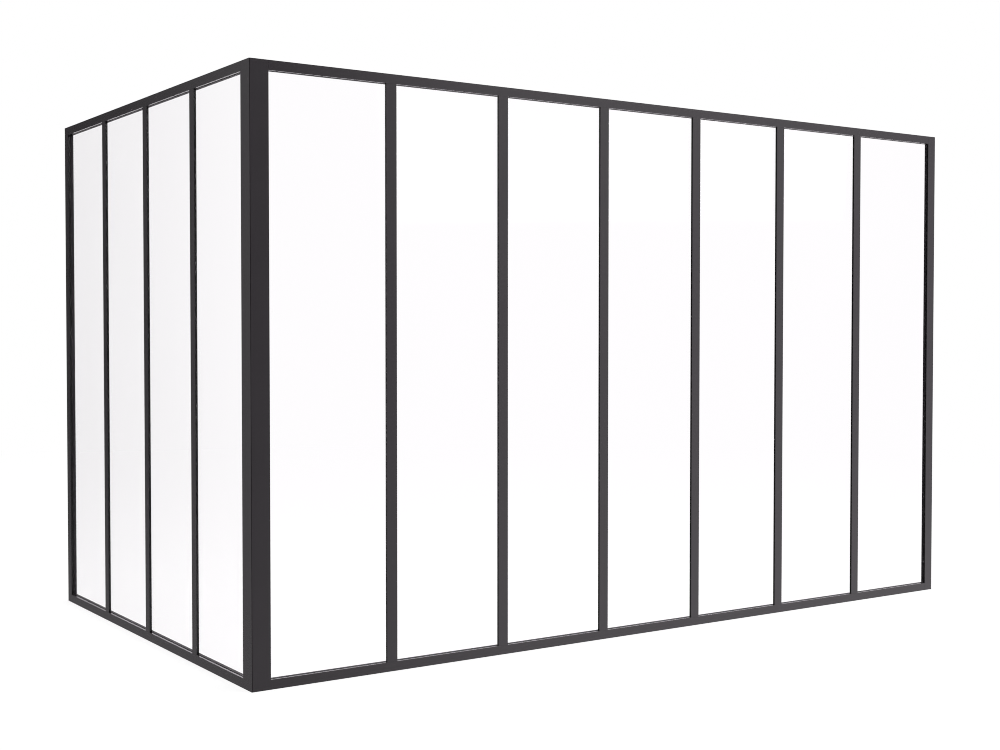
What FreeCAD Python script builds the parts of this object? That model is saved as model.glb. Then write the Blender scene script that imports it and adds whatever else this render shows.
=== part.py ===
"""Glazed interior partition round a corner: two walls of full-height panes in slim frames.

Millimetres, +Z up.  The origin is the centre of the corner post's foot, on the floor.  The long
right wall runs along +X and the short left wall along +Y, and the room lies between them.

Each wall is drawn in its own frame: s runs along the wall from the outer corner, d goes from
the outer face into the room, z goes up.  On the right wall s and d are X and Y.  The left wall
is the same drawing mirrored, so there s and d are Y and X.
"""
import FreeCAD, Part
import os

# Whole partition
height = 2500.0            # floor to ceiling
right_length = 4088.5      # outer corner to the far end of the right wall
left_length = 2328.5       # outer corner to the far end of the left wall
frame_depth = 34.0         # outer face to room face
nose_depth = 10.0          # the part of a frame that lies in front of the glass

# Visible faces
rail_face = 40.0           # top and bottom rails
start_face = 51.0          # upright beside the corner
end_face = 55.0            # upright at the far end
mullion_face = 50.0        # bar between two panes

# Hollow bodies behind the noses
rail_body = 20.0
post_body = 25.0

# Bays: equal modules from the module line to the end post's sightline
right_panes = 7
right_module_line = 75.0   # from the outer corner
left_panes = 4
left_module_line = 28.0

# Sections
wall_thickness = 2.0       # of the hollow profiles
rebate_wall = 3.5          # thicker wall beside the glass, which carries the bead's groove
nose_radius = 0.8          # rounded outer edges

# Corner post
corner_setback = 2.0       # right wall's first post starts before the left wall's room face
corner_wall = 5.0
corner_radius = 0.8
corner_seam_offset = 1.0   # shadow joint, from the post's outer edge
corner_seam_width = 1.8
corner_seam_depth = 3.5
corner_plate = 3.0         # closes the post at the floor and the ceiling

# Glass and what holds it
glass_thickness = 6.0
glass_arris = 0.8          # bevel ground on the pane's edges
glass_edge_gap = 4.0       # pane edge to the rebate's side
tape_thickness = 1.0       # sealing tape, one strip on each side of the pane
tape_width = 9.0
tape_inset = 0.3           # nose or bead edge to the tape's near edge
block_length = 80.0        # setting blocks under each pane
block_width = 6.0
block_end = 60.0           # pane edge to the near end of its setting block

# Glazing bead
bead_width = 20.0          # rebate's side to the bead's edge, seen through the glass
bead_radius = 0.6
bead_wall = 1.5
bead_fit = 0.2             # clearance between the bead and the rebate's side
bead_tongue_width = 2.0
bead_tongue_length = 1.4
bead_tongue_back = 3.0     # bead's room face to the tongue

# Bar between two panes
stem_width = 10.0
stem_edge_gap = 2.0        # pane edge to the stem
strip_width = 24.0         # strip that clamps the pane edges from the room side
strip_thickness = 1.5
strip_chamfer = 0.5

# Worked out
corner_width_right = frame_depth - corner_setback
corner_width_left = frame_depth
glass_front = nose_depth + tape_thickness
glass_back = glass_front + glass_thickness
bead_front = glass_back + tape_thickness
same_place = 0.01          # two coordinates closer than this are the same


def box(s0, s1, d0, d1, z0, z1):
    """A block between two corners in a wall's own frame."""
    corner = FreeCAD.Vector(s0, d0, z0)
    return Part.makeBox(s1 - s0, d1 - d0, z1 - z0, corner)


def loop_face(points):
    """A flat face on the outline through these points."""
    vectors = [FreeCAD.Vector(*p) for p in points]
    return Part.Face(Part.makePolygon(vectors + vectors[:1]))


def standing_edges(shape):
    """The straight edges of a shape that run along Z."""
    return [edge for edge in shape.Edges
            if abs(edge.tangentAt(edge.FirstParameter).z) > 0.99]


def frame_outline(face, body):
    """L section: u from the wall side to the sightline, v from the outer face to the room."""
    return [(0, 0), (face, 0), (face, nose_depth), (body, nose_depth),
            (body, frame_depth), (0, frame_depth)]


def frame_chamber(face, body):
    """The hollow inside the L section."""
    t = wall_thickness
    back = body - rebate_wall
    return [(t, t), (face - t, t), (face - t, nose_depth - t), (back, nose_depth - t),
            (back, frame_depth - t), (t, frame_depth - t)]


def extruded(outline, length):
    """The prism on a u, v outline along +Z."""
    face = loop_face([(u, v, 0) for u, v in outline])
    return face.extrude(FreeCAD.Vector(0, 0, length))


def tongue_span():
    """Depths between which the bead's tongue lies."""
    end = frame_depth - bead_tongue_back
    return end - bead_tongue_width, end


def frame_profile(face, body, length):
    """Hollow L profile along +Z, outer face at v = 0, with the groove that takes a bead."""
    solid = extruded(frame_outline(face, body), length)
    nose_edges = [edge for edge in standing_edges(solid)
                  if abs(edge.CenterOfMass.x - face) < same_place]
    solid = solid.makeFillet(nose_radius, nose_edges)
    groove_start, groove_end = tongue_span()
    groove = box(body - bead_tongue_length - bead_fit, body, groove_start - bead_fit,
                 groove_end + bead_fit, 0, length)
    return solid.cut(extruded(frame_chamber(face, body), length)).cut(groove)


def bead_profile(length):
    """Hollow snap-in bead along +Z: u = 0 at the rebate's side, v as on the frame."""
    outer = box(bead_fit, bead_width, bead_front, frame_depth, 0, length)
    edge_at_glass = [edge for edge in standing_edges(outer)
                     if abs(edge.CenterOfMass.x - bead_width) < same_place]
    outer = outer.makeFillet(bead_radius, edge_at_glass)
    hollow = box(bead_fit + bead_wall, bead_width - bead_wall, bead_front + bead_wall,
                 frame_depth - bead_wall, 0, length)
    groove_start, groove_end = tongue_span()
    tongue = box(-bead_tongue_length, bead_fit, groove_start, groove_end, 0, length)
    return outer.fuse(tongue).cut(hollow)


def upright(shape, s_wall, toward):
    """Stand a profile at s = s_wall with its sightline on the side that toward points to."""
    placed = shape.copy()
    if toward < 0:
        placed = placed.mirror(FreeCAD.Vector(0, 0, 0), FreeCAD.Vector(1, 0, 0))
    placed.translate(FreeCAD.Vector(s_wall, 0, 0))
    return placed


def level(shape, s_start, z_wall, toward):
    """Lay a profile along s from s_start, its wall side at z_wall, its sightline up or down."""
    placed = shape.copy()
    placed.rotate(FreeCAD.Vector(0, 0, 0), FreeCAD.Vector(0, 1, 0), -90)
    placed = placed.mirror(FreeCAD.Vector(0, 0, 0), FreeCAD.Vector(1, 0, 0))
    if toward < 0:
        placed = placed.mirror(FreeCAD.Vector(0, 0, 0), FreeCAD.Vector(0, 0, 1))
    placed.translate(FreeCAD.Vector(s_start, 0, z_wall))
    return placed


def bays(first_sightline, last_sightline, module_line, panes):
    """Clear openings of a wall as (start, end) pairs along s."""
    module = (last_sightline - module_line) / panes
    result = []
    start = first_sightline
    for index in range(1, panes):
        middle = module_line + index * module
        result.append((start, middle - mullion_face / 2))
        start = middle + mullion_face / 2
    result.append((start, last_sightline))
    return result


def pane_edges(openings, index, body_start, body_end):
    """Where pane number index starts and ends along s, inside its rebates."""
    start, end = openings[index]
    behind_mullion = (mullion_face - stem_width) / 2 - stem_edge_gap
    left = start - behind_mullion
    right = end + behind_mullion
    if index == 0:
        left = body_start + glass_edge_gap
    if index == len(openings) - 1:
        right = body_end - glass_edge_gap
    return left, right


def mullion(s_middle):
    """T bar: flat nose over the edges of both panes, with its stem between them."""
    half = mullion_face / 2
    nose = box(s_middle - half, s_middle + half, 0, nose_depth, rail_face, height - rail_face)
    nose = nose.makeFillet(nose_radius, standing_edges(nose))
    stem = box(s_middle - stem_width / 2, s_middle + stem_width / 2, nose_depth,
               glass_back, rail_body, height - rail_body)
    return nose.fuse(stem).removeSplitter()


def clamping_strip(s_middle):
    """Flat strip on a mullion's stem that holds the panes against its nose."""
    low = rail_body + bead_width
    strip = box(s_middle - strip_width / 2, s_middle + strip_width / 2, glass_back,
                glass_back + strip_thickness, low, height - low)
    room_edges = [edge for edge in standing_edges(strip)
                  if edge.CenterOfMass.y > glass_back + same_place]
    return strip.makeChamfer(strip_chamfer, room_edges)


def pane(s0, s1):
    """One sheet of glass with ground edges, standing on its setting blocks."""
    low = rail_body + glass_edge_gap
    sheet = box(s0, s1, glass_front, glass_back, low, height - low)
    rim = [edge for edge in sheet.Edges
           if abs(edge.tangentAt(edge.FirstParameter).y) < same_place]
    return sheet.makeChamfer(glass_arris, rim)


def setting_blocks(s0, s1):
    """Two blocks that carry a pane in the bottom rebate."""
    middle = (glass_front + glass_back) / 2
    blocks = []
    for start in (s0 + block_end, s1 - block_end - block_length):
        blocks.append(box(start, start + block_length, middle - block_width / 2,
                          middle + block_width / 2, rail_body, rail_body + glass_edge_gap))
    return blocks


def tape_ring(s0, s1, low, d0):
    """Sealing tape round the opening s0 to s1 whose sightline at the floor is at z = low."""
    near = tape_inset
    far = tape_inset + tape_width
    d1 = d0 + tape_thickness
    outer = box(s0 - far, s1 + far, d0, d1, low - far, height - low + far)
    inner = box(s0 - near, s1 + near, d0, d1, low - near, height - low + near)
    return outer.cut(inner)


def rails(s0, s1, body_start, body_end):
    """Bottom and top rail: their bodies pass behind the posts' noses, which notch them."""
    rail = frame_profile(rail_face, rail_body, body_end - body_start)
    placed = []
    for z_wall, toward in ((0, 1), (height, -1)):
        piece = level(rail, body_start, z_wall, toward)
        piece = piece.cut(box(body_start, s0, 0, nose_depth, 0, height))
        piece = piece.cut(box(s1, body_end, 0, nose_depth, 0, height))
        placed.append(piece)
    return placed


def beads(body_start, body_end):
    """Beads of a wall: bottom and top run through, the two upright ones stand between."""
    low = rail_body + bead_width
    long_bead = bead_profile(body_end - body_start)
    short_bead = bead_profile(height - 2 * low)
    short_bead.translate(FreeCAD.Vector(0, 0, low))
    return {
        "bottom_bead": level(long_bead, body_start, rail_body, 1),
        "top_bead": level(long_bead, body_start, height - rail_body, -1),
        "start_bead": upright(short_bead, body_start, 1),
        "end_bead": upright(short_bead, body_end, -1),
    }


def wall(s_start, length, module_line, panes):
    """All the pieces of one wall in its own frame, by name."""
    body_start = s_start + post_body
    body_end = length - post_body
    s0 = s_start + start_face
    s1 = length - end_face
    openings = bays(s0, s1, module_line, panes)
    bottom_rail, top_rail = rails(s0, s1, body_start, body_end)
    front_tapes = [tape_ring(start, end, rail_face, nose_depth) for start, end in openings]
    pieces = {
        "start_post": upright(frame_profile(start_face, post_body, height), s_start, 1),
        "end_post": upright(frame_profile(end_face, post_body, height), length, -1),
        "bottom_rail": bottom_rail,
        "top_rail": top_rail,
        "front_tape": Part.makeCompound(front_tapes),
        "bead_tape": tape_ring(body_start + bead_width, body_end - bead_width,
                               rail_body + bead_width, glass_back),
    }
    pieces.update(beads(body_start, body_end))
    blocks = []
    for index in range(panes):
        edges = pane_edges(openings, index, body_start, body_end)
        pieces["glass_%d" % (index + 1)] = pane(*edges)
        blocks += setting_blocks(*edges)
    pieces["setting_blocks"] = Part.makeCompound(blocks)
    strips = []
    for index, opening in enumerate(openings[:-1]):
        middle = opening[1] + mullion_face / 2
        pieces["mullion_%d" % (index + 1)] = mullion(middle)
        strips.append(clamping_strip(middle))
    pieces["clamping_strips"] = Part.makeCompound(strips)
    return pieces


def corner_post():
    """Hollow post with a shadow joint beside its outer edge, closed at both ends."""
    t = corner_wall
    post = box(0, corner_width_right, 0, corner_width_left, 0, height)
    outer_edge = [edge for edge in standing_edges(post)
                  if edge.CenterOfMass.x < same_place and edge.CenterOfMass.y < same_place]
    post = post.makeFillet(corner_radius, outer_edge)
    hollow = box(t, corner_width_right - t, t, corner_width_left - t, corner_plate,
                 height - corner_plate)
    seam = box(corner_seam_offset, corner_seam_offset + corner_seam_width, 0,
               corner_seam_depth, 0, height)
    return post.cut(hollow).cut(seam)


def partition():
    """Every node of the part, by name, with the origin at the corner post's foot."""
    nodes = {"corner_post": corner_post()}
    right = wall(corner_width_right, right_length, right_module_line, right_panes)
    left = wall(corner_width_left, left_length, left_module_line, left_panes)
    for name, piece in right.items():
        nodes["right_" + name] = piece
    for name, piece in left.items():
        swapped = piece.mirror(FreeCAD.Vector(0, 0, 0), FreeCAD.Vector(1, -1, 0))
        nodes["left_" + name] = swapped
    to_origin = FreeCAD.Vector(-corner_width_right / 2, -corner_width_left / 2, 0)
    for shape in nodes.values():
        shape.translate(to_origin)
    return nodes


def main():
    os.makedirs("parts", exist_ok=True)
    for name, shape in partition().items():
        shape.exportStep("parts/%s.step" % name)
        print(name, len(shape.Solids), shape.isValid(), round(shape.Volume / 1000, 1), "cm3")


main()
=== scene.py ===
"""Looks of the glazed corner partition: finishes, strip screws, floor, light and camera."""
import math

import bpy
from bpy.props import FloatProperty, FloatVectorProperty, IntProperty, PointerProperty
from bpy.types import Operator, Panel, PropertyGroup
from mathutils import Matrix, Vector


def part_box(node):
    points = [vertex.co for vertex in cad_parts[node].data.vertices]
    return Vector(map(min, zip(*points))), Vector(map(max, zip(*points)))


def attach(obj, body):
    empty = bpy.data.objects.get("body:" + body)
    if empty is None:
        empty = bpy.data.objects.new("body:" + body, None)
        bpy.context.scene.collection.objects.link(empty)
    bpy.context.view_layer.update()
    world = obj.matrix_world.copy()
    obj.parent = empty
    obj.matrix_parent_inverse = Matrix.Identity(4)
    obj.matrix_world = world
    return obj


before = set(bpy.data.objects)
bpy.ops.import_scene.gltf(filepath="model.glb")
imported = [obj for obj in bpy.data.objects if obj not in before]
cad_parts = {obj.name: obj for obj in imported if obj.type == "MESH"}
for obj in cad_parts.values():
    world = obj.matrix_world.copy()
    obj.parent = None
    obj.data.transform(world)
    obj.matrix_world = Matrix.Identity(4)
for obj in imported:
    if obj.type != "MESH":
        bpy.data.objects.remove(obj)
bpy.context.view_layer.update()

bl_info = {
    "name": "Glazed Corner Partition",
    "version": (1, 0, 0),
    "blender": (4, 5, 0),
    "location": "View3D > Sidebar > Partition",
    "description": "Finishes a glazed interior partition and sets it on a pale stage",
    "category": "Object",
}

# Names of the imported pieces, by what they are made of
TAPES = [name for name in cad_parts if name.endswith("_tape")]
BLOCKS = [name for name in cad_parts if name.endswith("_blocks")]
PANES = [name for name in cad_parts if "_glass_" in name]
BEADS = [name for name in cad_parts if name.endswith(("_bead", "_strips"))]
PAINTED = [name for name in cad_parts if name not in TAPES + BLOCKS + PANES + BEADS]
# Each wall and the axis it runs along; its reveals, which face along that axis, take painted
# shade
WALLS = {"right": "X", "left": "Y"}

WHITE = (1, 1, 1, 1)

# Weak mirroring of the panes, and what they let through of a lamp's light
GLASS_INDEX = 1.12
GLASS_SHADOW = (0.92, 0.93, 0.92, 1)

# Black zinc of the screws, what makes their heads round, and how their recesses are turned
ZINC = (0.05, 0.05, 0.052)
HEAD_RINGS = 16
RECESS_SIDES = 6
RECESS_TURN = math.radians(360 / RECESS_SIDES)
RECESS_SEED = 7

# Brightness of the studio round the object, as metal and glass mirror it: degrees from -Y
# towards +X, and the share of white there, for its walls and for its floor
STUDIO_WALLS = ((0, 0.20), (23, 0.08), (34, 1.10), (46, 1.10), (57, 0.50), (100, 0.90),
                (130, 1.06), (164, 1.06), (176, 0.02), (200, 0.02), (209, 0.90), (217, 0.03),
                (250, 0.06), (280, 0.90), (330, 0.90), (350, 0.20))
STUDIO_FLOOR = ((0, 0.40), (21, 0.40), (36, 1.45), (57, 1.55), (130, 1.45), (165, 1.20),
                (178, 0.20), (207, 0.42), (216, 0.20), (250, 0.20), (280, 1.10), (330, 1.10),
                (350, 0.40))

STUDIO_TINT = (1, 0.97, 1, 1)

# Heights of a mirrored direction between which the studio's walls pass into its floor and
# into its ceiling, and the share by which the ceiling is brighter
FLOOR_RISE = (-0.05, -0.22)
CEILING_RISE = (0.19, 0.30)
CEILING_GLEAM = 0.80

# The stage's floor: half its side, its paleness, how bright its lit surface is taken to be, and
# the distances from the corner between which it fades into the background
FLOOR_REACH = 60.0
FLOOR_PALE = 0.9
FLOOR_TONE = 0.42
FLOOR_FADE = (2.5, 12.0)

# The large soft panel: where it hangs, what it faces, its width and its height
PANEL_PLACE = (7.0, -6.5, 4.5)
PANEL_TARGET = (1.5, 0, 1.2)
PANEL_SIZE = (5.0, 4.0)

# The camera's sensor, how far it sees, and the width of the filter that blends its pixels
SENSOR_WIDTH = 36.0
SIGHT = 500.0
PIXEL_FILTER = 1.0


class PartitionFinish(PropertyGroup):
    """Colours and grain of the frames and the glass."""

    paint_colour: FloatVectorProperty(
        name="Paint", description="Powder coat of the frames", subtype="COLOR", size=3,
        min=0, max=1, default=(0.026, 0.022, 0.026))
    paint_roughness: FloatProperty(
        name="Paint Roughness", description="How matt the powder coat is", default=0.24,
        min=0, max=1, subtype="FACTOR")
    grain: FloatProperty(
        name="Paint Grain", description="Size of the powder coat's texture", default=0.0012,
        min=0.0001, unit="LENGTH")
    # Painted shade: how dark the narrow sides beside the glass are painted, as a share of the
    # faces' tone, standing in for the shade they lie in
    reveal_painted_shade: FloatProperty(
        name="Reveal", description="Tone of the narrow sides beside the glass, as a share of "
        "the faces' tone", default=0.15, min=0, max=1, subtype="FACTOR")
    glass_tint: FloatVectorProperty(
        name="Glass", description="Colour of light that passed a pane", subtype="COLOR",
        size=3, min=0, max=1, default=(0.998, 0.984, 0.998))
    bead_colour: FloatVectorProperty(
        name="Beads", description="Matt black of the glazing beads and clamping strips",
        subtype="COLOR", size=3, min=0, max=1, default=(0.026, 0.023, 0.026))
    rubber_colour: FloatVectorProperty(
        name="Rubber", description="Sealing tape", subtype="COLOR", size=3, min=0, max=1,
        default=(0.012, 0.012, 0.012))
    plastic_colour: FloatVectorProperty(
        name="Blocks", description="Setting blocks", subtype="COLOR", size=3, min=0, max=1,
        default=(0.05, 0.05, 0.05))


class StripScrews(PropertyGroup):
    """Button head screws through the clamping strips on the room side."""

    head_diameter: FloatProperty(
        name="Head", description="Diameter of a screw head", default=0.0075, min=0.001,
        unit="LENGTH")
    head_height: FloatProperty(
        name="Height", description="How far a head stands above the strip", default=0.0021,
        min=0.0002, unit="LENGTH")
    recess_width: FloatProperty(
        name="Recess", description="Across the corners of the hexagon recess", default=0.0034,
        min=0.0005, unit="LENGTH")
    recess_depth: FloatProperty(
        name="Recess Depth", description="Depth of the hexagon recess from the crown",
        default=0.0013, min=0.0002, unit="LENGTH")
    end_distance: FloatProperty(
        name="End", description="Strip end to its first screw", default=0.060, min=0,
        unit="LENGTH")
    rows: IntProperty(
        name="Rows", description="Screws in one strip", default=9, min=2)
    facets: IntProperty(
        name="Facets", description="Sides of a head's outline", default=28, min=8)


class PartitionStage(PropertyGroup):
    """Where the viewer stands and how the room is lit."""

    eye: FloatVectorProperty(
        name="Eye", description="Where the camera stands", size=3, subtype="TRANSLATION",
        unit="LENGTH", default=(-2.3530, -5.1814, 1.4253))
    turn: FloatProperty(
        name="Turn", description="From +Y towards +X", default=math.radians(33.7953),
        subtype="ANGLE")
    tilt: FloatProperty(
        name="Tilt", description="Below the horizon", default=math.radians(1.5562),
        subtype="ANGLE")
    lens: FloatProperty(
        name="Lens", description="Focal length on a 36 mm wide sensor", default=51.201, min=1)
    shift: FloatVectorProperty(
        name="Shift", description="Lens shift", size=2, default=(0.012946, -0.003938))
    sky: FloatProperty(
        name="Sky", description="Even light from all round", default=0.48, min=0)
    key: FloatProperty(
        name="Key", description="Power of the large panel on the right", default=420.0, min=0,
        unit="POWER")
    shadow: FloatProperty(
        name="Shadow", description="Share of the object's shadow that the floor keeps",
        default=0.30, min=0, max=0.95, subtype="FACTOR")


def placed(name, data):
    """An object with some data, linked to the scene."""
    item = bpy.data.objects.new(name, data)
    bpy.context.scene.collection.objects.link(item)
    return item


def add_node(tree, kind, settings=None, **inputs):
    """A node with its settings, its inputs set to values or linked to sockets by name."""
    node = tree.nodes.new(kind)
    for name, value in (settings or {}).items():
        setattr(node, name, value)
    for name, value in inputs.items():
        socket = node.inputs[name.replace("_", " ")]
        if isinstance(value, bpy.types.NodeSocket):
            tree.links.new(value, socket)
        else:
            socket.default_value = value
    return node


def math_node(tree, operation, *values):
    """A Math node on values or sockets; gives its result."""
    node = tree.nodes.new("ShaderNodeMath")
    node.operation = operation
    for socket, value in zip(node.inputs, values):
        if isinstance(value, (int, float)):
            socket.default_value = value
        else:
            tree.links.new(value, socket)
    return node.outputs[0]


def mix_shaders(tree, factor, first, second):
    """Blend of two shader sockets."""
    mix = tree.nodes.new("ShaderNodeMixShader")
    tree.links.new(factor, mix.inputs["Fac"])
    tree.links.new(first, mix.inputs[1])
    tree.links.new(second, mix.inputs[2])
    return mix.outputs["Shader"]


def principled(name):
    """A new material, its tree and its Principled shader."""
    material = bpy.data.materials.new(name)
    material.use_nodes = True
    tree = material.node_tree
    return material, tree, tree.nodes["Principled BSDF"]


def object_noise(tree, scale, detail):
    """Noise on Object coordinates."""
    place = tree.nodes.new("ShaderNodeTexCoord")
    noise = add_node(tree, "ShaderNodeTexNoise", Vector=place.outputs["Object"], Scale=scale,
                     Detail=detail)
    return noise.outputs["Fac"]


def mottled(tree, factor, colour, spread):
    """A colour that wanders by spread round its value."""
    darker = (*[c * (1 - spread) for c in colour], 1)
    lighter = (*[c * (1 + spread) for c in colour], 1)
    mix = add_node(tree, "ShaderNodeMix", {"data_type": "RGBA"}, Factor=factor, A=darker,
                   B=lighter)
    return mix.outputs["Result"]


def coated(tree, shader, factor, colour, rough):
    """Gives a shader its colour, and a roughness that goes from the first to the second."""
    tree.links.new(colour, shader.inputs["Base Color"])
    gloss = add_node(tree, "ShaderNodeMapRange", Value=factor, To_Min=rough[0], To_Max=rough[1])
    tree.links.new(gloss.outputs["Result"], shader.inputs["Roughness"])


def bumped(tree, shader, height, distance, strength):
    """Raises the surface by a height value."""
    bump = add_node(tree, "ShaderNodeBump", Height=height, Distance=distance, Strength=strength)
    tree.links.new(bump.outputs["Normal"], shader.inputs["Normal"])


def painted_reveal_shade(tree, colour, axis, shade):
    """Painted shade: darkens a colour on the faces that look along a wall, on both hands, the
    reveals beside the glass.
    """
    surface = tree.nodes.new("ShaderNodeNewGeometry")
    parts = add_node(tree, "ShaderNodeSeparateXYZ", Vector=surface.outputs["True Normal"])
    # mask of the reveals, which take the painted shade
    along = math_node(tree, "ABSOLUTE", parts.outputs[axis])
    mix = add_node(tree, "ShaderNodeMix", {"data_type": "RGBA", "blend_type": "MULTIPLY"},
                   Factor=along, A=colour, B=(shade, shade, shade, 1))
    return mix.outputs["Result"]


def frame_paint(finish, side):
    """Satin powder coat: fine grain, slight wander in tone and gloss; on the walls' pieces,
    painted shade on the reveals beside the glass.
    """
    material, tree, shader = principled("frame_paint_" + side)
    broad = object_noise(tree, scale=3.0, detail=4.0)
    fine = object_noise(tree, scale=1 / finish.grain, detail=2.0)
    colour = mottled(tree, broad, finish.paint_colour, spread=0.12)
    # Painted shade on the walls' reveals beside the glass, darkened in the colour as if in shade
    if side in WALLS:
        colour = painted_reveal_shade(tree, colour, WALLS[side], finish.reveal_painted_shade)
    rough = finish.paint_roughness
    coated(tree, shader, broad, colour, rough=(rough - 0.03, rough + 0.03))
    bumped(tree, shader, fine, distance=0.0001, strength=0.2)
    return material


def bead_black(finish):
    """Matt black of the beads and strips, duller than the frames."""
    material, tree, shader = principled("bead_black")
    broad = object_noise(tree, scale=5.0, detail=3.0)
    fine = object_noise(tree, scale=1 / finish.grain, detail=2.0)
    colour = mottled(tree, broad, finish.bead_colour, spread=0.15)
    coated(tree, shader, broad, colour, rough=(0.55, 0.65))
    shader.inputs["Specular IOR Level"].default_value = 0.2
    bumped(tree, shader, fine, distance=0.0001, strength=0.3)
    return material


def pane_glass(finish):
    """Clear toughened glass that lets the lamps' light through."""
    material, tree, shader = principled("pane_glass")
    wander = object_noise(tree, scale=2.5, detail=1.0)
    tree.links.new(mottled(tree, wander, finish.glass_tint, spread=0.002),
                   shader.inputs["Base Color"])
    shader.inputs["Transmission Weight"].default_value = 1.0
    shader.inputs["Roughness"].default_value = 0.0
    shader.inputs["IOR"].default_value = GLASS_INDEX
    light_path = tree.nodes.new("ShaderNodeLightPath")
    clear = add_node(tree, "ShaderNodeBsdfTransparent", Color=GLASS_SHADOW)
    surface = mix_shaders(tree, light_path.outputs["Is Shadow Ray"], shader.outputs["BSDF"],
                          clear.outputs["BSDF"])
    tree.links.new(surface, tree.nodes["Material Output"].inputs["Surface"])
    return material


def tape_rubber(finish):
    """Black closed-cell tape: dull, finely pitted."""
    material, tree, shader = principled("tape_rubber")
    pits = object_noise(tree, scale=1400.0, detail=2.0)
    colour = mottled(tree, pits, finish.rubber_colour, spread=0.2)
    coated(tree, shader, pits, colour, rough=(0.75, 0.95))
    shader.inputs["Specular IOR Level"].default_value = 0.2
    bumped(tree, shader, pits, distance=0.0002, strength=0.5)
    return material


def block_plastic(finish):
    """Hard plastic of the setting blocks."""
    material, tree, shader = principled("block_plastic")
    skin = object_noise(tree, scale=600.0, detail=2.0)
    colour = mottled(tree, skin, finish.plastic_colour, spread=0.1)
    coated(tree, shader, skin, colour, rough=(0.5, 0.6))
    bumped(tree, shader, skin, distance=0.0001, strength=0.3)
    return material


def screw_steel():
    """Black zinc of the small screws."""
    material, tree, shader = principled("screw_steel")
    turned = object_noise(tree, scale=2500.0, detail=2.0)
    colour = mottled(tree, turned, ZINC, spread=0.3)
    coated(tree, shader, turned, colour, rough=(0.3, 0.45))
    shader.inputs["Metallic"].default_value = 1.0
    return material


def wear(names, material):
    """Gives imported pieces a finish."""
    for name in names:
        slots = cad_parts[name].data.materials
        slots.clear()
        slots.append(material)


class PARTITION_OT_paint_frames(Operator):
    """Powder coats the posts, rails and mullions, with painted shade on the walls' reveals, and
    blackens the beads and strips
    """

    bl_idname = "partition.paint_frames"
    bl_label = "Paint Frames"

    def execute(self, context):
        finish = context.scene.partition_finish
        for side in ("corner", *WALLS):
            wear([name for name in PAINTED if name.startswith(side)], frame_paint(finish, side))
        wear(BEADS, bead_black(finish))
        return {"FINISHED"}


class PARTITION_OT_glaze_panes(Operator):
    """Makes the panes clear glass"""

    bl_idname = "partition.glaze_panes"
    bl_label = "Glaze Panes"

    def execute(self, context):
        wear(PANES, pane_glass(context.scene.partition_finish))
        return {"FINISHED"}


def new_tree(name, sockets):
    """An empty Geometry Nodes tree with named inputs of (name, socket type)."""
    tree = bpy.data.node_groups.new(name, "GeometryNodeTree")
    tree.interface.new_socket("Geometry", in_out="INPUT", socket_type="NodeSocketGeometry")
    for socket_name, kind in sockets:
        tree.interface.new_socket(socket_name, in_out="INPUT", socket_type=kind)
    tree.interface.new_socket("Geometry", in_out="OUTPUT", socket_type="NodeSocketGeometry")
    return tree, tree.nodes.new("NodeGroupInput"), tree.nodes.new("NodeGroupOutput")


def screw_head(tree, given):
    """Domed head, flat underneath at z = 0, with a hexagon recess in its crown."""
    radius = math_node(tree, "MULTIPLY", given["Head"], 0.5)
    flatten = add_node(tree, "ShaderNodeCombineXYZ", X=radius, Y=radius, Z=given["Height"])
    ball = add_node(tree, "GeometryNodeMeshUVSphere", Segments=given["Facets"],
                    Rings=HEAD_RINGS, Radius=1.0)
    dome = add_node(tree, "GeometryNodeTransform", Geometry=ball.outputs["Mesh"],
                    Scale=flatten.outputs[0])
    hexagon = add_node(tree, "GeometryNodeMeshCylinder", Vertices=RECESS_SIDES,
                       Radius=math_node(tree, "MULTIPLY", given["Recess"], 0.5),
                       Depth=math_node(tree, "MULTIPLY", given["Recess Depth"], 2.0))
    crown = add_node(tree, "ShaderNodeCombineXYZ", Z=given["Height"])
    recess = add_node(tree, "GeometryNodeTransform", Geometry=hexagon.outputs["Mesh"],
                      Translation=crown.outputs[0])
    side = math_node(tree, "MULTIPLY", given["Head"], 2.0)
    size = add_node(tree, "ShaderNodeCombineXYZ", X=side, Y=side, Z=side)
    block = add_node(tree, "GeometryNodeMeshCube", Size=size.outputs[0])
    drop = add_node(tree, "ShaderNodeCombineXYZ", Z=math_node(tree, "MULTIPLY", side, -0.5))
    lower_half = add_node(tree, "GeometryNodeTransform", Geometry=block.outputs["Mesh"],
                          Translation=drop.outputs[0])
    cut = add_node(tree, "GeometryNodeMeshBoolean", {"operation": "DIFFERENCE"})
    tree.links.new(dome.outputs["Geometry"], cut.inputs["Mesh 1"])
    tree.links.new(lower_half.outputs["Geometry"], cut.inputs["Mesh 2"])
    tree.links.new(recess.outputs["Geometry"], cut.inputs["Mesh 2"])
    return cut.outputs["Mesh"]


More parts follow.
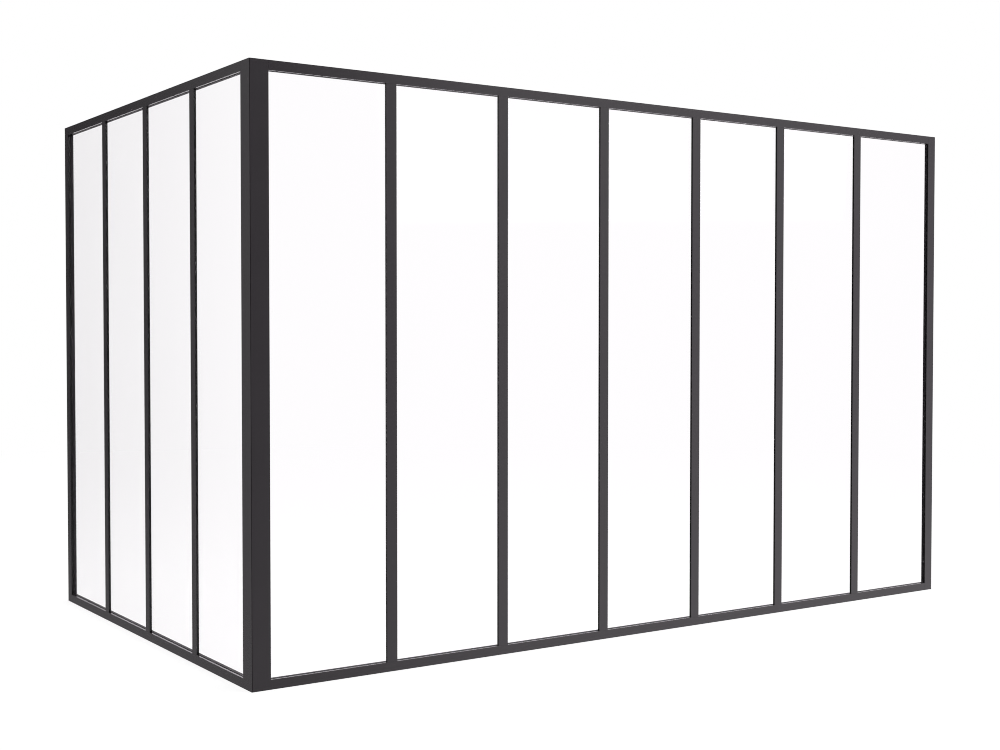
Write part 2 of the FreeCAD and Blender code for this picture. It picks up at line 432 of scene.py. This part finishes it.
def screw_tree(material):
    """Columns of screw heads that stand on the points of a mesh, one column on each point."""
    tree, start, end = new_tree("strip_screws", (
        ("Head", "NodeSocketFloat"), ("Height", "NodeSocketFloat"),
        ("Recess", "NodeSocketFloat"), ("Recess Depth", "NodeSocketFloat"),
        ("Rows", "NodeSocketInt"), ("Pitch", "NodeSocketFloat"), ("Facets", "NodeSocketInt"),
        ("Facing", "NodeSocketRotation")))
    given = start.outputs
    rise = add_node(tree, "ShaderNodeCombineXYZ", Z=given["Pitch"])
    column = add_node(tree, "GeometryNodeMeshLine", {"mode": "OFFSET"}, Count=given["Rows"],
                      Offset=rise.outputs[0])
    columns = add_node(tree, "GeometryNodeInstanceOnPoints", Points=given["Geometry"],
                       Instance=column.outputs["Mesh"])
    places = add_node(tree, "GeometryNodeRealizeInstances",
                      Geometry=columns.outputs["Instances"])
    heads = add_node(tree, "GeometryNodeInstanceOnPoints",
                     Points=places.outputs["Geometry"], Instance=screw_head(tree, given),
                     Rotation=given["Facing"])
    drive = add_node(tree, "FunctionNodeRandomValue", {"data_type": "FLOAT"},
                     Max=RECESS_TURN, Seed=RECESS_SEED)
    around = add_node(tree, "ShaderNodeCombineXYZ", Z=drive.outputs[1])
    turned = add_node(tree, "GeometryNodeRotateInstances",
                      Instances=heads.outputs["Instances"], Rotation=around.outputs[0])
    real = add_node(tree, "GeometryNodeRealizeInstances", Geometry=turned.outputs["Instances"])
    finished = add_node(tree, "GeometryNodeSetMaterial", Geometry=real.outputs["Geometry"],
                        Material=material)
    tree.links.new(finished.outputs["Geometry"], end.inputs[0])
    return tree


def baked_by_nodes(name, points, tree, values):
    """Runs a tree on a mesh of points and keeps the result as a plain mesh object."""
    seeds = bpy.data.meshes.new(name + "_points")
    seeds.from_pydata(points, [], [])
    source = placed(name + "_points", seeds)
    modifier = source.modifiers.new("nodes", "NODES")
    modifier.node_group = tree
    for item in tree.interface.items_tree:
        if item.in_out == "INPUT" and item.name in values:
            modifier[item.identifier] = values[item.name]
    graph = bpy.context.evaluated_depsgraph_get()
    mesh = bpy.data.meshes.new_from_object(source.evaluated_get(graph), depsgraph=graph)
    source.modifiers.remove(modifier)
    bpy.data.objects.remove(source)
    if mesh.materials[0] is None:
        mesh.materials.pop(index=0)
    return placed(name, mesh)


class PARTITION_OT_screw_strips(Operator):
    """Screws the clamping strips to the mullions on the room side"""

    bl_idname = "partition.screw_strips"
    bl_label = "Screw Strips"

    def execute(self, context):
        screws = context.scene.partition_screws
        tree = screw_tree(screw_steel())
        for wall, axis in WALLS.items():
            low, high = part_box(wall + "_clamping_strips")
            first = low[2] + screws.end_distance
            pitch = (high[2] - low[2] - 2 * screws.end_distance) / (screws.rows - 1)
            mullions = [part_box(name) for name in PAINTED if name.startswith(wall + "_mullion")]
            if axis == "X":
                points = [((a[0] + b[0]) / 2, high[1], first) for a, b in mullions]
                facing = (math.radians(-90), 0, 0)
            else:
                points = [(high[0], (a[1] + b[1]) / 2, first) for a, b in mullions]
                facing = (0, math.radians(90), 0)
            piece = baked_by_nodes(wall + "_strip_screws", points, tree, {
                "Head": screws.head_diameter, "Height": screws.head_height,
                "Recess": screws.recess_width, "Recess Depth": screws.recess_depth,
                "Rows": screws.rows, "Pitch": pitch, "Facets": screws.facets,
                "Facing": facing})
            if not piece.data.polygons:
                raise RuntimeError("no screw was made on the " + wall + " wall")
            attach(piece, "root")
        return {"FINISHED"}


class PARTITION_OT_seal_joints(Operator):
    """Finishes the sealing tape and the setting blocks"""

    bl_idname = "partition.seal_joints"
    bl_label = "Seal Joints"

    def execute(self, context):
        finish = context.scene.partition_finish
        wear(TAPES, tape_rubber(finish))
        wear(BLOCKS, block_plastic(finish))
        return {"FINISHED"}


def kinds_of_ray(tree):
    """1 for rays seen straight or through glass, and 1 for rays that were mirrored on the way."""
    seen = tree.nodes.new("ShaderNodeLightPath")
    scattered = math_node(tree, "GREATER_THAN", seen.outputs["Diffuse Depth"], 0.5)
    through = math_node(tree, "SUBTRACT", seen.outputs["Is Transmission Ray"], scattered)
    viewed = math_node(tree, "MAXIMUM", seen.outputs["Is Camera Ray"], through)
    mirrored = math_node(tree, "GREATER_THAN", seen.outputs["Glossy Depth"], 0.5)
    return viewed, mirrored


def stage_floor(stage):
    """Pale floor that keeps the object's shadow and fades into the white background far off."""
    mesh = bpy.data.meshes.new("stage_floor")
    corners = [(side * FLOOR_REACH, depth * FLOOR_REACH, 0)
               for side, depth in ((-1, -1), (1, -1), (1, 1), (-1, 1))]
    mesh.from_pydata(corners, [], [(0, 1, 2, 3)])
    floor = placed("stage_floor", mesh)
    material, tree, shader = principled("floor_white")
    shader.inputs["Roughness"].default_value = 1.0
    shader.inputs["Specular IOR Level"].default_value = 0.0
    shader.inputs["Emission Color"].default_value = WHITE
    viewed, mirrored = kinds_of_ray(tree)
    place = tree.nodes.new("ShaderNodeTexCoord")
    far = add_node(tree, "ShaderNodeVectorMath", {"operation": "LENGTH"},
                   Vector=place.outputs["Object"])
    near, end = FLOOR_FADE
    faded = add_node(tree, "ShaderNodeMapRange", From_Min=near, From_Max=end,
                     To_Min=stage.shadow, To_Max=0.0, Value=far.outputs["Value"])
    kept = faded.outputs["Result"]
    hidden = math_node(tree, "MULTIPLY", viewed, math_node(tree, "SUBTRACT", 1.0, kept))
    tree.links.new(math_node(tree, "MULTIPLY_ADD", hidden, -FLOOR_PALE, FLOOR_PALE),
                   shader.inputs["Base Color"])
    own = math_node(tree, "MULTIPLY_ADD", kept, -FLOOR_TONE, 1.0)
    tree.links.new(math_node(tree, "MULTIPLY", viewed, own), shader.inputs["Emission Strength"])
    unseen = tree.nodes.new("ShaderNodeBsdfTransparent")
    surface = mix_shaders(tree, mirrored, shader.outputs["BSDF"], unseen.outputs["BSDF"])
    tree.links.new(surface, tree.nodes["Material Output"].inputs["Surface"])
    mesh.materials.append(material)


def height_share(tree, height, start, end):
    """Rises smoothly from 0 to 1 as a ray's height goes from start to end."""
    node = add_node(tree, "ShaderNodeMapRange", {"interpolation_type": "SMOOTHSTEP"},
                    Value=height, From_Min=start, From_Max=end)
    return node.outputs["Result"]


def round_share(tree, turn, shares):
    """Share of white at a turn of 0 to 1, from pairs of degrees and share."""
    ramp = tree.nodes.new("ShaderNodeValToRGB")
    ramp.color_ramp.interpolation = "EASE"
    stops = ramp.color_ramp.elements
    for index, (degrees, share) in enumerate(shares):
        stop = stops[index] if index < 2 else stops.new(degrees / 360)
        stop.position = degrees / 360
        stop.color = (share, share, share, 1)
    tree.links.new(turn, ramp.inputs["Fac"])
    return ramp.outputs["Color"]


def studio_round(tree):
    """White share of the studio in a ray's direction: its walls, its floor and its ceiling."""
    ray = tree.nodes.new("ShaderNodeTexCoord")
    parts = add_node(tree, "ShaderNodeSeparateXYZ", Vector=ray.outputs["Generated"])
    back = math_node(tree, "MULTIPLY", parts.outputs["Y"], -1.0)
    angle = math_node(tree, "ARCTAN2", parts.outputs["X"], back)
    turn = math_node(tree, "FRACT", math_node(tree, "DIVIDE", angle, math.tau))
    low = height_share(tree, parts.outputs["Z"], *FLOOR_RISE)
    high = height_share(tree, parts.outputs["Z"], *CEILING_RISE)
    lifted = math_node(tree, "MULTIPLY_ADD", high, CEILING_GLEAM, 1.0)
    walls = math_node(tree, "MULTIPLY", round_share(tree, turn, STUDIO_WALLS), lifted)
    walls = math_node(tree, "MULTIPLY", walls, math_node(tree, "SUBTRACT", 1.0, low))
    return math_node(tree, "MULTIPLY_ADD", round_share(tree, turn, STUDIO_FLOOR), low, walls)


def stage_world(stage):
    """White behind the object, an even softer light on it, and the studio in its gloss."""
    world = bpy.data.worlds.new("stage_world")
    bpy.context.scene.world = world
    world.use_nodes = True
    tree = world.node_tree
    even = tree.nodes["Background"]
    even.inputs["Color"].default_value = WHITE
    even.inputs["Strength"].default_value = stage.sky
    white = add_node(tree, "ShaderNodeBackground", Color=WHITE, Strength=1.0)
    studio = add_node(tree, "ShaderNodeBackground", Color=STUDIO_TINT,
                      Strength=studio_round(tree))
    viewed, mirrored = kinds_of_ray(tree)
    lit = mix_shaders(tree, viewed, even.outputs["Background"], white.outputs["Background"])
    surface = mix_shaders(tree, mirrored, lit, studio.outputs["Background"])
    tree.links.new(surface, tree.nodes["World Output"].inputs["Surface"])


def stage_panel(stage):
    """The large soft panel, which isn't mirrored."""
    lamp = bpy.data.lights.new("key_panel", "AREA")
    lamp.shape = "RECTANGLE"
    lamp.size, lamp.size_y = PANEL_SIZE
    lamp.energy = stage.key
    panel = placed("key_panel", lamp)
    panel.location = PANEL_PLACE
    panel.visible_glossy = False
    ahead = Vector(PANEL_TARGET) - Vector(PANEL_PLACE)
    panel.rotation_euler = ahead.to_track_quat("-Z", "Y").to_euler()


def stage_camera(stage):
    """The photograph's eye: place, turn, tilt, lens and shift."""
    data = bpy.data.cameras.new("eye")
    camera = placed("eye", data)
    data.sensor_width = SENSOR_WIDTH
    data.lens = stage.lens
    data.shift_x, data.shift_y = stage.shift
    data.clip_end = SIGHT
    camera.location = stage.eye
    camera.rotation_euler = (math.radians(90) - stage.tilt, 0, -stage.turn)
    bpy.context.scene.camera = camera
    bpy.context.scene.cycles.filter_width = PIXEL_FILTER


class PARTITION_OT_set_stage(Operator):
    """Lays the floor and sets the light and the camera"""

    bl_idname = "partition.set_stage"
    bl_label = "Set Stage"

    def execute(self, context):
        stage = context.scene.partition_stage
        context.scene.view_settings.view_transform = "Standard"
        stage_floor(stage)
        stage_world(stage)
        stage_panel(stage)
        stage_camera(stage)
        return {"FINISHED"}


STEPS = (PARTITION_OT_paint_frames, PARTITION_OT_glaze_panes, PARTITION_OT_seal_joints,
         PARTITION_OT_screw_strips, PARTITION_OT_set_stage)


class PARTITION_PT_sidebar(Panel):
    """Lists the partition's steps and settings"""

    bl_label = "Glazed Partition"
    bl_idname = "PARTITION_PT_sidebar"
    bl_space_type = "VIEW_3D"
    bl_region_type = "UI"
    bl_category = "Partition"

    def draw(self, context):
        for step in STEPS:
            self.layout.operator(step.bl_idname)
        for group in ("partition_finish", "partition_screws", "partition_stage"):
            settings = getattr(context.scene, group)
            box = self.layout.box()
            for name in settings.bl_rna.properties.keys():
                if name not in ("rna_type", "name"):
                    box.prop(settings, name)


CLASSES = (PartitionFinish, StripScrews, PartitionStage, *STEPS, PARTITION_PT_sidebar)


def register():
    for cls in CLASSES:
        bpy.utils.register_class(cls)
    bpy.types.Scene.partition_finish = PointerProperty(type=PartitionFinish)
    bpy.types.Scene.partition_screws = PointerProperty(type=StripScrews)
    bpy.types.Scene.partition_stage = PointerProperty(type=PartitionStage)


def unregister():
    del bpy.types.Scene.partition_stage
    del bpy.types.Scene.partition_screws
    del bpy.types.Scene.partition_finish
    for cls in reversed(CLASSES):
        bpy.utils.unregister_class(cls)


def main():
    register()
    bpy.ops.partition.paint_frames()
    bpy.ops.partition.glaze_panes()
    bpy.ops.partition.seal_joints()
    bpy.ops.partition.screw_strips()
    bpy.ops.partition.set_stage()


if __name__ == "__main__":
    main()
